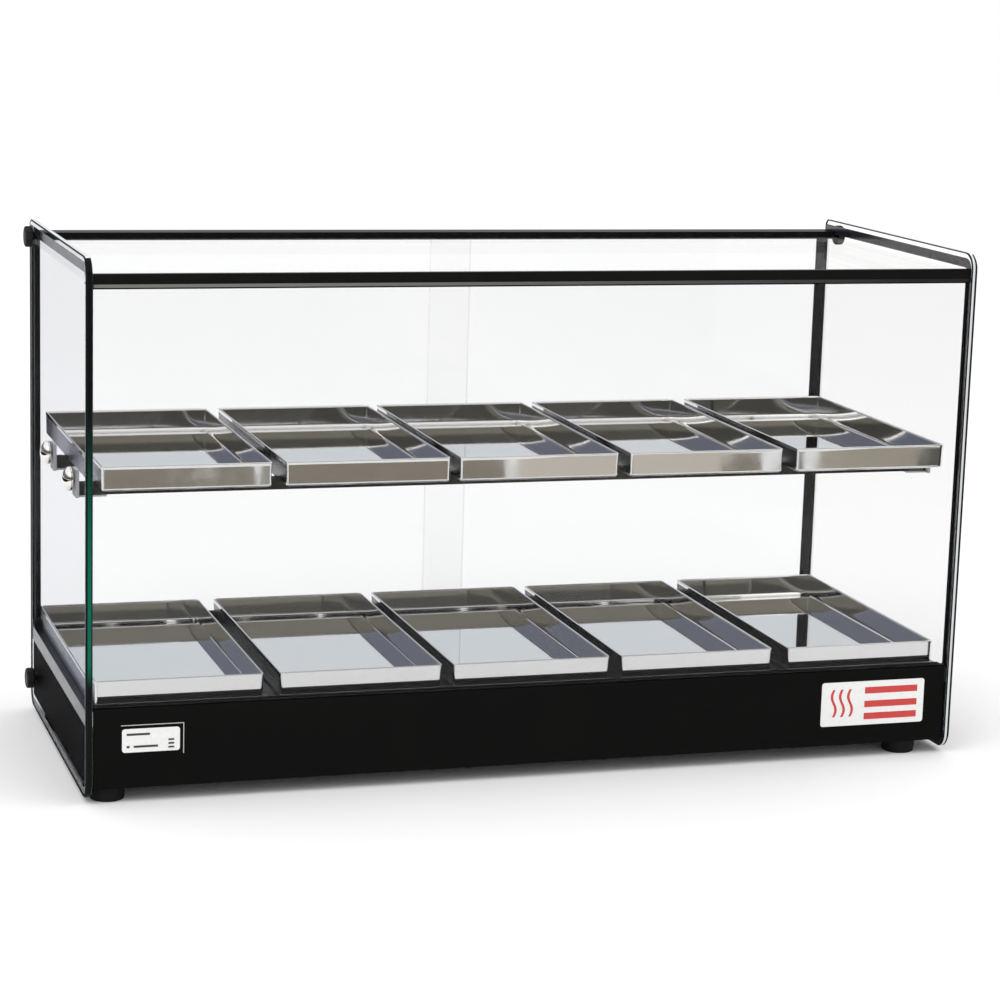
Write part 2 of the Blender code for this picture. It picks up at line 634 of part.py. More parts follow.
def main():
    clear_scene()
    glass = make_material("clear_glass", (0.86, 0.92, 0.90), 0.02, 0.0, alpha=0.3)
    paint = make_material("black_paint", (0.012, 0.012, 0.013), 0.35, 0.0)
    black_aluminium = make_material("black_aluminium", (0.018, 0.018, 0.018), 0.3, 0.4)
    steel = make_material("polished_steel", (0.60, 0.58, 0.55), 0.08, 1.0)
    chrome = make_material("chrome", (0.80, 0.80, 0.80), 0.03, 1.0)
    bare_aluminium = make_material("bare_aluminium", (0.70, 0.71, 0.72), 0.35, 1.0)
    plastic = make_material("black_plastic", (0.02, 0.02, 0.02), 0.4, 0.0)
    rubber = make_material("black_rubber", (0.015, 0.015, 0.015), 0.8, 0.0)
    white = make_material("white_label", (0.85, 0.85, 0.84), 0.4, 0.0)
    ceramic = make_material("terminal_ceramic", (0.75, 0.72, 0.65), 0.5, 0.0)
    lens = make_material("amber_lens", (0.80, 0.25, 0.02), 0.15, 0.0, alpha=0.9)

    make_side_glass(glass)
    make_fixed_glass(glass)
    make_top_rails(black_aluminium)
    make_rear_frame(black_aluminium)
    make_doors(glass, plastic)
    make_shelf(steel, chrome)
    make_glass_knobs(plastic)
    make_base_shell(paint)
    make_deck(steel)
    make_bottom(paint, steel, rubber)
    make_control_panel(paint)
    make_thermostat(plastic)
    make_switch(plastic)
    make_electrical_fittings(plastic, ceramic, lens)
    make_heater(steel, bare_aluminium)
    make_labels(white)
    make_trays(steel)


main()
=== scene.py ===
"""Looks of the countertop glass food warmer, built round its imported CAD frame.

Lengths in this file are in millimetres unless a comment says otherwise, and become metres when
a mesh is made. X runs along the width, Y from the customer's side to the rear, Z up.
"""

import math

import bmesh
import bpy
from mathutils import Matrix, Vector


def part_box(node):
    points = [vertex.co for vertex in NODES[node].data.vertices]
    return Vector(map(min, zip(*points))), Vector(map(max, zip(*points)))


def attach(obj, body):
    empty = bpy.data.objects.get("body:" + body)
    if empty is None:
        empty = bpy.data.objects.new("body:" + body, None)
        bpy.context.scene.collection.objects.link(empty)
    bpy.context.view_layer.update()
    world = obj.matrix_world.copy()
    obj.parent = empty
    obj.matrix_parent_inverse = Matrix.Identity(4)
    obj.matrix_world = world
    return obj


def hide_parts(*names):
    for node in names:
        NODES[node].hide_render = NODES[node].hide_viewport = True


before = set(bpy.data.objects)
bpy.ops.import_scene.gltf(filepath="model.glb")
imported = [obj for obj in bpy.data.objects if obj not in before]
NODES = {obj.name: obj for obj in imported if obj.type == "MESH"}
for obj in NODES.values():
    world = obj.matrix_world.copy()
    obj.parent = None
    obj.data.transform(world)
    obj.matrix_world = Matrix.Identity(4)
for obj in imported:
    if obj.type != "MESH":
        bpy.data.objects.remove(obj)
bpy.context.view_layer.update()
MM = 0.001

# Camera, in metres and degrees
CAMERA_PLACE = (-0.79907, -2.54531, 0.75110)
CAMERA_YAW = 17.65
CAMERA_PITCH = -11.09
CAMERA_ROLL = 1.71
CAMERA_LENS = 101.0
CAMERA_SHIFT = (-0.0009, 0.0023)

# Glass
GLASS_CORNERS = (15.0, 15.0, 6.0, 15.0)
BORDER_WIDTH = 9.0
BORDER_DROP = 5.0  # how far below the top edge the border starts
BORDER_INNER_CORNERS = (6.0, 6.0, 3.0, 6.0)
BORDER_OUTER_CORNERS = (14.1, 14.1, 5.1, 12.0)
ARRIS = 1.1
EDGE_SPLIT = {"left": 0.30, "right": 0.45}  # share of a front edge, from outside, that looks black

# Trays
TRAY_LEAN = 0.6
TRAY_SHEET = 0.9
TRAY_HEM = 1.8
TRAY_CORNER = 2.6
TRAY_INNER_CORNER = 0.4
TRAY_BEND = 2.6
TRAY_INNER_BEND = 4.2
TRAY_SIDE_BEND = 0.8  # how far that bend reaches in from the side walls

# Thermostat dial
DIAL_TICKS = 8
DIAL_TURN = 280.0  # degrees, clockwise for the operator
TICK_START = 23.0
TICK_ENDS = (28.0, 26.5)  # long and short ticks, by turns
PRINT = 0.1  # how thick a print is

# Label prints
CAUTION_LEVELS = (67.0, 53.5, 41.5)
CAUTION_BAR = ((329.0, 384.0), 3.2)  # from x to x, and half its height
WAVE_PLACES = (297.0, 305.5, 314.0)
WAVE_LEVELS = (42.0, 69.0)

# What polished steel reflects, as scene-linear colours
ROOM_LOW = (0.105, 0.100, 0.088)
ROOM_HIGH = (0.270, 0.252, 0.210)
REAR_RIGHT = (0.80, 0.84, 0.88)
REAR_LEFT = (0.185, 0.197, 0.255)
FLOOR_BROWN = (0.325, 0.29, 0.235)
FLOOR_BEIGE = (0.78, 0.71, 0.62)
FLOOR_TAN = (0.50, 0.455, 0.375)
FLOOR_DARK = (0.13, 0.124, 0.11)
FLOOR_FAR = (0.012, 0.012, 0.012)

# Where the room changes, as the sine of the height above the horizon
ROOM_STEP = (0.198, 0.222)
FRONT_TOP = (0.36, 0.46)
REAR_TOP = (0.32, 0.42)


# ---------------------------------------------------------------- shader helpers


class Nodes:
    """A short way to write a node tree: each call adds a node and returns an output."""

    def __init__(self, tree):
        self.tree = tree

    def add(self, kind, inputs=None, output=0, **settings):
        node = self.tree.nodes.new(kind)
        for key, value in settings.items():
            setattr(node, key, value)
        for key, value in (inputs or {}).items():
            self.put(node.inputs[key], value)
        return node.outputs[output]

    def put(self, socket, value):
        if isinstance(value, bpy.types.NodeSocket):
            self.tree.links.new(value, socket)
        else:
            socket.default_value = value

    def place(self, scale=(1.0, 1.0, 1.0)):
        """The object's own coordinates, stretched by a scale."""
        spot = self.add("ShaderNodeTexCoord", output="Object")
        return self.add("ShaderNodeMapping", {"Vector": spot, "Scale": scale})

    def noise(self, scale, detail=2.0, stretch=(1.0, 1.0, 1.0), roughness=0.5):
        inputs = {"Vector": self.place(stretch), "Scale": scale, "Detail": detail}
        inputs["Roughness"] = roughness
        return self.add("ShaderNodeTexNoise", inputs, output="Fac")

    def ramp(self, value, low, high, out_low=0.0, out_high=1.0, smooth=False):
        inputs = {"Value": value, "From Min": low, "From Max": high}
        inputs |= {"To Min": out_low, "To Max": out_high}
        kind = "SMOOTHSTEP" if smooth else "LINEAR"
        return self.add("ShaderNodeMapRange", inputs, interpolation_type=kind)

    def mix(self, share, first, second):
        node = self.tree.nodes.new("ShaderNodeMix")
        node.data_type = "RGBA"
        self.put(node.inputs["Factor"], share)
        self.put(node.inputs[6], first)
        self.put(node.inputs[7], second)
        return node.outputs[2]

    def maths(self, operation, first, second=0.0):
        node = self.tree.nodes.new("ShaderNodeMath")
        node.operation = operation
        self.put(node.inputs[0], first)
        self.put(node.inputs[1], second)
        return node.outputs[0]

    def bump(self, height, depth, normal=None):
        """A bump whose full height is depth, in metres."""
        inputs = {"Height": height, "Distance": depth, "Strength": 1.0}
        if normal is not None:
            inputs["Normal"] = normal
        return self.add("ShaderNodeBump", inputs, output="Normal")


def rgba(colour):
    return (*colour, 1.0)


def new_material(name):
    material = bpy.data.materials.new(name)
    material.use_nodes = True
    material.node_tree.nodes.clear()
    nodes = Nodes(material.node_tree)
    output = material.node_tree.nodes.new("ShaderNodeOutputMaterial")
    return material, nodes, output.inputs["Surface"]


def principled(name, **inputs):
    """A material of one Principled shader. inputs may be functions that build their socket."""
    material, nodes, surface = new_material(name)
    ready = {"Roughness": 0.4}
    for key, value in inputs.items():
        key = key.replace("_", " ")
        ready[key] = value(nodes) if callable(value) else value
    if isinstance(ready.get("Base Color"), tuple):
        ready["Base Color"] = rgba(ready["Base Color"])
    nodes.put(surface, nodes.add("ShaderNodeBsdfPrincipled", ready))
    return material


# ---------------------------------------------------------------- materials


def make_pane_glass(name, face_on, edge_on, shine_share, shine=(1.0, 1.0, 1.0), bends=False):
    """Clear sheet glass, tinted more at grazing angles. If it bends light, that is for all but lamps."""
    material, nodes, surface = new_material(name)
    facing = nodes.add("ShaderNodeLayerWeight", {"Blend": 0.5}, output="Facing")
    depth = nodes.ramp(facing, 0.35, 0.9)
    tint = nodes.mix(depth, rgba(face_on), rgba(edge_on))
    clear = nodes.add("ShaderNodeBsdfTransparent", {"Color": tint})
    if bends:
        bent = nodes.add("ShaderNodeBsdfRefraction", {"Color": tint, "Roughness": 0.0, "IOR": 1.5})
        lamp = nodes.add("ShaderNodeLightPath", output="Is Shadow Ray")
        clear = nodes.add("ShaderNodeMixShader", {0: lamp, 1: bent, 2: clear})
    gloss = nodes.add("ShaderNodeBsdfGlossy", {"Roughness": 0.01, "Color": rgba(shine)})
    fresnel = nodes.add("ShaderNodeFresnel", {"IOR": 1.38})
    share = nodes.maths("MULTIPLY", fresnel, shine_share)
    nodes.put(surface, nodes.add("ShaderNodeMixShader", {0: share, 1: clear, 2: gloss}))
    return material


def make_edge_glass(name, colour, roughness=0.2, metallic=0.0, lower=None, alpha=1.0, ior=1.45):
    """A polished edge of sheet glass, in a flat colour of painted light and shade. lower is a painted green
    glow of light through the glass, between the deck and the lower trays.
    """

    def base(nodes):
        grain = nodes.noise(160.0, 3.0, (1.0, 1.0, 0.1))
        high = nodes.mix(grain, rgba(colour), rgba([c * 0.8 for c in colour]))
        if lower is None:
            return high
        # Between the deck and the lower trays the edge takes the lower colour, a painted glow of light
        # carried through the glass.
        spot = nodes.add("ShaderNodeTexCoord", output="Object")
        height = nodes.add("ShaderNodeSeparateXYZ", {"Vector": spot}, output="Z")
        above = nodes.ramp(height, 0.36, 0.20, smooth=True)
        inside = nodes.ramp(height, 0.105, 0.13, smooth=True)
        return nodes.mix(nodes.maths("MULTIPLY", above, inside), high, rgba(lower))

    return principled(
        name, Base_Color=base, Roughness=roughness, Metallic=metallic, Alpha=alpha, IOR=ior,
        Normal=lambda n: n.bump(n.noise(500.0, 2.0), 0.00002),
    )


def mottle(nodes, scale, first, second, detail=3.0):
    """Two close colours mixed by a noise."""
    return nodes.mix(nodes.noise(scale, detail), rgba(first), rgba(second))


def streaks(nodes, along, scale, depth):
    """Fine drawn lines along an axis, as a normal."""
    stretch = [1.0, 1.0, 1.0]
    stretch["xyz".index(along)] = 0.02
    return nodes.bump(nodes.noise(scale, 3.0, tuple(stretch)), depth)


def make_tray_steel():
    def normal(nodes):
        return nodes.bump(nodes.noise(9.0, 0.0), 0.0002)

    def roughness(nodes):
        return nodes.ramp(nodes.noise(60.0, 4.0, (1.0, 0.1, 1.0)), 0.35, 0.75, 0.025, 0.06)

    def colour(nodes):
        return mottle(nodes, 25.0, (0.785, 0.78, 0.77), (0.83, 0.825, 0.815))

    return principled("tray_steel", Base_Color=colour, Metallic=1.0, Roughness=roughness, Normal=normal)


def make_tray_outside(name, colour):
    """The duller outside of a tray's side and rear walls, darker as painted shade, and brighter as painted
    light on a row's left end.
    """
    return principled(
        name,
        Base_Color=lambda n: mottle(n, 30.0, colour, [c * 1.4 for c in colour]),
        Metallic=1.0,
        Roughness=lambda n: n.ramp(n.noise(70.0, 3.0, (1.0, 0.1, 1.0)), 0.3, 0.7, 0.20, 0.30),
        Normal=lambda n: n.bump(n.noise(300.0, 1.0, (1.0, 0.05, 1.0)), 0.0000015),
    )


def make_sheet_steel(name, colour, along="x", low=0.12, high=0.24):
    return principled(
        name,
        Base_Color=lambda n: mottle(n, 40.0, colour, [c * 1.12 for c in colour]),
        Metallic=1.0,
        Roughness=lambda n: n.ramp(n.noise(90.0, 3.0), 0.3, 0.7, low, high),
        Normal=lambda n: streaks(n, along, 1200.0, 0.000004),
    )


def make_black_aluminium():
    return principled(
        "black_aluminium",
        Base_Color=lambda n: mottle(n, 30.0, (0.005, 0.005, 0.005), (0.009, 0.009, 0.008)),
        Roughness=lambda n: n.ramp(n.noise(80.0, 3.0, (0.05, 1.0, 1.0)), 0.3, 0.7, 0.26, 0.40),
        Normal=lambda n: streaks(n, "x", 1500.0, 0.000004),
        Specular_IOR_Level=0.12,
        IOR=1.18,
    )


def make_black_paint():
    return principled(
        "black_paint",
        Base_Color=lambda n: mottle(n, 18.0, (0.0052, 0.0052, 0.0052), (0.0074, 0.0072, 0.0068), 4.0),
        Roughness=lambda n: n.ramp(n.noise(140.0, 3.0), 0.3, 0.7, 0.34, 0.46),
        Normal=lambda n: n.bump(n.noise(1400.0, 2.0), 0.000003),
        Specular_IOR_Level=0.02,
        IOR=1.1,
    )


def make_plastic(name, colour, roughness=0.42):
    return principled(
        name,
        Base_Color=lambda n: mottle(n, 120.0, colour, [c * 1.25 for c in colour], 2.0),
        Roughness=lambda n: n.ramp(n.noise(300.0, 3.0), 0.3, 0.7, roughness - 0.06, roughness + 0.08),
        Normal=lambda n: n.bump(n.noise(2600.0, 2.0), 0.00001),
        Specular_IOR_Level=0.2,
    )


def make_print(name, colour, roughness=0.35):
    return principled(
        name,
        Base_Color=lambda n: mottle(n, 400.0, colour, [c * 0.88 for c in colour]),
        Roughness=lambda n: n.ramp(n.noise(250.0, 2.0), 0.3, 0.7, roughness - 0.05, roughness + 0.07),
    )


def make_seal():
    """A grey seal along the front rail that darkens towards the right."""

    def colour(nodes):
        spot = nodes.add("ShaderNodeTexCoord", output="Object")
        across = nodes.add("ShaderNodeSeparateXYZ", {"Vector": spot}, output="X")
        share = nodes.ramp(across, -0.25, 0.35)
        return nodes.mix(share, rgba((0.14, 0.14, 0.13)), rgba((0.012, 0.012, 0.012)))

    return principled("rail_seal", Base_Color=colour, Roughness=0.55, Specular_IOR_Level=0.2)


def make_materials():
    made = {
        "side_pane_left": make_pane_glass(
            "side_pane_left", (0.955, 0.955, 0.957), (0.79, 0.80, 0.82), 0.012, (0.9, 0.92, 1.0), True
        ),
        "side_pane_right": make_pane_glass(
            "side_pane_right", (0.992, 0.992, 0.988), (0.97, 0.97, 0.96), 0.012, (0.9, 0.92, 1.0), True
        ),
        "front_pane": make_pane_glass("front_pane", (0.925, 0.927, 0.930), (0.90, 0.905, 0.91), 0.3),
        "door_pane": make_pane_glass("door_pane", (0.996, 0.996, 0.996), (0.97, 0.975, 0.98), 0.4),
        "top_pane": make_pane_glass("top_pane", (0.968, 0.968, 0.968), (0.968, 0.968, 0.968), 0.06),
        # The glass edges are lit and shaded copies of one polished edge, in flat colours of painted light and
        # shade: dark at the left front with a painted green glow, light grey at the right front and on the
        # doors, and a painted highlight on top edges.
        "edge_left": make_edge_glass(
            "glass_edge_left_painted_shade_and_glow", (0.004, 0.006, 0.006), lower=(0.002, 0.11, 0.066), ior=1.15
        ),
        "edge_right": make_edge_glass("glass_edge_right_painted_light", (0.62, 0.65, 0.65), 0.1),
        "edge_top": make_edge_glass("glass_edge_top_painted_highlight", (0.90, 0.92, 0.92), 0.08, 0.6),
        "edge_plain": make_edge_glass("glass_edge_plain_painted_light", (0.60, 0.63, 0.63), 0.1, alpha=0.15),
        # The arris colour, near black, is painted shade on the bevels and bottom edges; the front glass's
        # edges and the outer share of the side panes' front edges take it too.
        "arris": make_edge_glass("glass_arris_painted_shade", (0.006, 0.007, 0.008), 0.6, ior=1.15),
        "border": make_print("printed_border", (0.012, 0.012, 0.016), 0.15),
        "tray": make_tray_steel(),
        # A dark copy of the tray steel for the outsides of tray walls, as painted shade.
        "tray_side_painted_shade": make_tray_outside("tray_outside", (0.085, 0.085, 0.09)),
        # A brighter copy of the outer steel for the row's left end, as painted light.
        "tray_left": make_tray_outside("tray_left_end_painted_light", (0.15, 0.16, 0.20)),
        "deck": make_sheet_steel("polished_steel", (0.27, 0.262, 0.25)),
        # The shelf rails are polished steel; their near-black colour is a painted dark reflection.
        "rail": make_sheet_steel("rail_steel_painted_dark", (0.06, 0.06, 0.058)),
        "bracket": make_print("bracket_enamel", (0.62, 0.62, 0.63), 0.4),
        "chrome": make_sheet_steel("stud_chrome", (0.72, 0.71, 0.68), "z", 0.03, 0.07),
        "zinc": make_sheet_steel("zinc_steel", (0.52, 0.52, 0.50), "x", 0.25, 0.4),
        "aluminium": make_sheet_steel("bare_aluminium", (0.66, 0.67, 0.68), "x", 0.3, 0.45),
        "black_aluminium": make_black_aluminium(),
        "paint": make_black_paint(),
        "plastic": make_plastic("black_plastic", (0.008, 0.008, 0.008)),
        "rubber": make_plastic("black_rubber", (0.005, 0.005, 0.005), 0.75),
        "ceramic": make_plastic("terminal_ceramic", (0.62, 0.58, 0.50), 0.55),
        "label": make_print("label_film", (0.78, 0.78, 0.77), 0.3),
        "red_print": make_print("red_print", (0.55, 0.035, 0.030)),
        "black_print": make_print("black_print", (0.03, 0.03, 0.03)),
        "white_print": make_print("white_print", (0.75, 0.75, 0.72)),
    }
    made["seal"] = make_seal()
    made["lens"] = principled(
        "amber_lens",
        Base_Color=lambda n: mottle(n, 200.0, (0.75, 0.22, 0.015), (0.85, 0.30, 0.03), 1.0),
        Roughness=0.12,
        Coat_Weight=0.5,
        Normal=lambda n: n.bump(n.noise(700.0, 0.0), 0.00002),
    )
    return made


# ---------------------------------------------------------------- mesh helpers


def box_mm(node):
    """A CAD node's box in millimetres: low corner and high corner."""
    low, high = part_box(node)
    return low / MM, high / MM


def finish_piece(name, bm, materials, body, replaces=(), smooth_angle=None):
    bmesh.ops.remove_doubles(bm, verts=bm.verts, dist=1e-4)
    bmesh.ops.recalc_face_normals(bm, faces=bm.faces)
    bmesh.ops.scale(bm, verts=bm.verts, vec=(MM, MM, MM))
    mesh = bpy.data.meshes.new(name)
    bm.to_mesh(mesh)
    bm.free()
    for material in materials:
        mesh.materials.append(material)
    if smooth_angle:
        mesh.shade_smooth()
        mesh.set_sharp_from_angle(angle=math.radians(smooth_angle))
    piece = bpy.data.objects.new(name, mesh)
    bpy.context.scene.collection.objects.link(piece)
    if smooth_angle:
        weighted = piece.modifiers.new("weighted_normals", "WEIGHTED_NORMAL")
        weighted.keep_sharp = True
    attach(piece, body)
    if replaces:
        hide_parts(*replaces)
    return piece


def add_box(bm, low, high, bevel=0.0, index=0):
    made = bmesh.ops.create_cube(bm, size=1.0)["verts"]
    centre = [(a + b) / 2 for a, b in zip(low, high)]
    size = [b - a for a, b in zip(low, high)]
    place = Matrix.Translation(centre) @ Matrix.Diagonal((*size, 1))
    bmesh.ops.transform(bm, verts=made, matrix=place)
    faces = {face for vert in made for face in vert.link_faces}
    if bevel:
        edges = {edge for face in faces for edge in face.edges}
        cut = bmesh.ops.bevel(bm, geom=list(edges), offset=bevel, segments=2, profile=0.5, affect="EDGES")
        faces = {face for face in faces if face.is_valid} | set(cut["faces"])
    for face in faces:
        face.material_index = index


def arc(centre, radius, start, end, steps):
    turns = [math.radians(start + (end - start) * i / steps) for i in range(steps + 1)]
    return [(centre[0] + radius * math.cos(t), centre[1] + radius * math.sin(t)) for t in turns]


def rounded_outline(low, high, radii, steps=8):
    """An upright rectangle's outline, anticlockwise. radii start at the lower left corner."""
    (x0, y0), (x1, y1) = low, high
    a, b, c, d = radii
    points = arc((x0 + a, y0 + a), a, 180, 270, steps) + arc((x1 - b, y0 + b), b, 270, 360, steps)
    return points + arc((x1 - c, y1 - c), c, 0, 90, steps) + arc((x0 + d, y1 - d), d, 90, 180, steps)


def bridge(bm, rings, index=0):
    """Faces between closed rings of the same number of points."""
    for lower, upper in zip(rings, rings[1:]):
        for i in range(len(lower)):
            j = (i + 1) % len(lower)
            bm.faces.new((lower[i], lower[j], upper[j], upper[i])).material_index = index


def add_turned(bm, profile, base, direction, steps=64, index=0, flutes=0, flute_depth=0.0):
    """A profile of (radius, height) turned about an axis from base, with optional flutes."""
    turn = Vector(direction).to_track_quat("Z", "Y").to_matrix()
    rings = []
    for radius, height in profile:
        if radius <= 0:
            rings.append([bm.verts.new(Vector(base) + turn @ Vector((0, 0, height)))])
            continue
        ring = []
        for i in range(steps):
            angle = 2 * math.pi * i / steps
            dent = flute_depth * (0.5 - 0.5 * math.cos(flutes * angle)) if flutes else 0.0
            r = radius - dent
            spot = Vector((r * math.cos(angle), r * math.sin(angle), height))
            ring.append(bm.verts.new(Vector(base) + turn @ spot))
        rings.append(ring)
    for lower, upper in zip(rings, rings[1:]):
        for i in range(steps):
            corners = [lower[i % len(lower)], lower[(i + 1) % len(lower)]]
            corners += [upper[(i + 1) % len(upper)], upper[i % len(upper)]]
            bm.faces.new(dict.fromkeys(corners)).material_index = index


# ---------------------------------------------------------------- glass


def add_pane(bm, outline, axis, start, end, arris=ARRIS, split=None):
    """A sheet with bevelled edges. Material 0 is its faces, 1 its front and rear edges, 2 its
    bevels and 3 its other edges. split is where along its thickness an edge turns black, and
    makes the bottom edge black too."""
    place = {
        "x": lambda a, b, t: (t, a, b),
        "y": lambda a, b, t: (a, t, b),
        "z": lambda a, b, t: (a, b, t),
    }[axis]
    centre = [sum(p[i] for p in outline) / len(outline) for i in (0, 1)]
    spans = [max(abs(p[i] - centre[i]) for p in outline) for i in (0, 1)]
    shrink = [1 - arris / span for span in spans]
    inner = [tuple(centre[i] + (p[i] - centre[i]) * shrink[i] for i in (0, 1)) for p in outline]
    middle = (start + end) / 2 if split is None else split
    depths = (start, start + arris, middle, end - arris, end)
    lines = (inner, outline, outline, outline, inner)
    rings = [[bm.verts.new(place(a, b, t)) for a, b in line] for line, t in zip(lines, depths)]
    for ring in (rings[0], rings[-1]):
        bm.faces.new(ring).material_index = 0
    for pair, index in zip(zip(rings, rings[1:]), (2, 1, 1, 2)):
        bridge(bm, pair, index)
    bmesh.ops.recalc_face_normals(bm, faces=bm.faces)
    for face in bm.faces:
        if face.material_index != 1:
            continue
        depth = face.calc_center_median()["xyz".index(axis)]
        # On a split side pane, edges facing up take material 3, the painted highlight, and edges facing down
        # take the near-black bevel colour as painted shade.
        if abs(face.normal.y) < 0.35:
            face.material_index = 3 if face.normal.z > 0 or split is None else 2
        elif split is not None and (depth < middle) == (middle < 0):
            face.material_index = 2


def make_side_glass(stuff):
    for side, sign in (("left", -1), ("right", 1)):
        node = f"side_glass_{side}"
        low, high = box_mm(node)
        outline = rounded_outline((low.y, low.z), (high.y, high.z), GLASS_CORNERS)
        bm = bmesh.new()
        outer_face = high.x if sign > 0 else low.x
        split = outer_face - sign * EDGE_SPLIT[side] * (high.x - low.x)
        add_pane(bm, outline, "x", low.x, high.x, split=split)
        materials = [stuff[f"side_pane_{side}"], stuff[f"edge_{side}"], stuff["arris"], stuff["edge_top"]]
        finish_piece(f"side_pane_{side}", bm, materials, "case", [node])

        # The border is printed on the inner face, as a frame of paint a tenth of a millimetre thick.
        width = BORDER_WIDTH
        inner = rounded_outline(
            (low.y + width, low.z + width),
            (high.y - width, high.z - width - BORDER_DROP),
            BORDER_INNER_CORNERS,
        )
        outer = rounded_outline(
            (low.y + ARRIS, low.z + ARRIS), (high.y - ARRIS, high.z - BORDER_DROP), BORDER_OUTER_CORNERS
        )
        face = (low.x if sign > 0 else high.x) - sign * 0.05
        back = face - sign * PRINT
        bm = bmesh.new()
        rings = []
        for line, x in ((outer, face), (outer, back), (inner, back), (inner, face)):
            rings.append([bm.verts.new((x, y, z)) for y, z in line])
        bridge(bm, rings + rings[:1])
        finish_piece(f"printed_border_{side}", bm, [stuff["border"]], "case")


def make_flat_panes(stuff):
    places = {"front_glass": "y", "top_glass": "z", "sliding_door_left": "y", "sliding_door_right": "y"}
    for node, axis in places.items():
        low, high = box_mm(node)
        keep = [i for i in range(3) if "xyz"[i] != axis]
        across = "xyz".index(axis)
        outline = rounded_outline(
            (low[keep[0]], low[keep[1]]), (high[keep[0]], high[keep[1]]), (1.5,) * 4, steps=3
        )
        bm = bmesh.new()
        add_pane(bm, outline, axis, low[across], high[across], arris=0.5)
        body = {"sliding_door_left": "door_left", "sliding_door_right": "door_right"}.get(node, "case")
        face = stuff[{"top_glass": "top_pane", "front_glass": "front_pane"}.get(node, "door_pane")]
        edge = stuff["arris" if node == "front_glass" else "edge_plain"]
        materials = [face, edge, edge, edge]
        finish_piece(node.replace("glass", "pane") + "_sheet", bm, materials, body, [node])


# ---------------------------------------------------------------- trays


def tray_profile(height):
    """(inset, height) of a tray's wall: up the outside, over the hem and down the inside."""
    slope = TRAY_LEAN / height
    bend, inner, hem = TRAY_BEND, TRAY_INNER_BEND, TRAY_HEM
    turns = [math.radians(15 * i) for i in range(7)]
    outside = [(TRAY_LEAN + bend - bend * math.sin(t), bend - bend * math.cos(t)) for t in turns]
    top = height - hem / 2
    outside.append((slope * (height - top + 2.6) + 0.25, top - 2.6))
    roll = [math.radians(30 * i) for i in range(7)]
    outside += [(hem / 2 - hem / 2 * math.cos(t), top + hem / 2 * math.sin(t)) for t in roll]
    foot = TRAY_LEAN + TRAY_SHEET
    inside = [(TRAY_SHEET, top - 1.2)]
    inside += [(foot + inner * (1 - math.cos(t)), TRAY_SHEET + inner * (1 - math.sin(t))) for t in turns]
    return outside, inside


def side_inset(inset):
    """How far in a tray's inside lies at a side wall, where the bend at its foot is tighter."""
    foot = TRAY_LEAN + TRAY_SHEET
    reach = TRAY_SIDE_BEND / TRAY_INNER_BEND
    return min(inset, foot) + max(inset - foot, 0) * reach


def add_tray(bm, low, high):
    """A folded tray. Material 0 is its polished face, 1 the duller outside of its sides, darkened as painted
    shade.
    """
    outside, inside = tray_profile(high.z - low.z)
    steps = 6
    rings = []
    for points, radius in ((outside, TRAY_CORNER), (inside, TRAY_INNER_CORNER)):
        for inset, rise in points:
            across = side_inset(inset) if points is inside else inset
            outline = rounded_outline(
                (low.x + across, low.y + inset), (high.x - across, high.y - inset), (radius,) * 4, steps
            )
            rings.append([bm.verts.new((x, y, low.z + rise)) for x, y in outline])
    bm.faces.new(rings[0])
    bm.faces.new(rings[-1])
    bridge(bm, rings)
    front_end = 2 * steps + 1
    walls = len(outside) - 7
    for ring, above in zip(rings[:walls], rings[1:walls]):
        for i in range(front_end, len(ring)):
            j = (i + 1) % len(ring)
            corners = {ring[i], ring[j], above[i], above[j]}
            for face in ring[i].link_faces:
                if set(face.verts) == corners:
                    face.material_index = 1


def paint_light_on_left_side(bm, middle):
    """The outside of the row's left wall shows through the side glass, in a brighter colour than the rest as
    painted light.
    """
    bm.normal_update()
    for face in bm.faces:
        outside = face.material_index == 1 and abs(face.normal.x) > 0.7
        if outside and face.calc_center_median().x < middle:
            face.material_index = 2


def make_trays(stuff):
    for row in ("lower", "upper"):
        for number in range(1, 6):
            node = f"tray_{row}_{number}"
            bm = bmesh.new()
            low, high = box_mm(node)
            add_tray(bm, low, high)
            materials = [stuff["tray"], stuff["tray_side_painted_shade"]]
            if number == 1:
                paint_light_on_left_side(bm, (low.x + high.x) / 2)
                materials.append(stuff["tray_left"])
            finish_piece(f"folded_{node}", bm, materials, f"lift_out_{node}", [node], 40)


# ---------------------------------------------------------------- fittings


def make_studs(stuff):
    dome = [(0.0, -9.0), (2.6, -9.0), (2.6, 0.2), (9.2, 0.2), (10.2, 0.7), (10.9, 1.6)]
    crown = [math.radians(angle) for angle in range(6, 90, 7)]
    dome += [(11.0 * math.cos(t), 2.4 + 7.5 * math.sin(t)) for t in crown]
    dome += [(0.0, 9.9)]
    for place in ("front", "rear"):
        for side, sign in (("left", -1), ("right", 1)):
            node = f"shelf_stud_{place}_{side}"
            low, high = box_mm(node)
            centre = (low + high) / 2
            face = (high.x if sign > 0 else low.x) - sign * 9.9
            bm = bmesh.new()
            add_turned(bm, dome, (face, centre.y, centre.z), (sign, 0, 0))
            finish_piece(f"domed_{node}", bm, [stuff["chrome"]], "case", [node], 35)


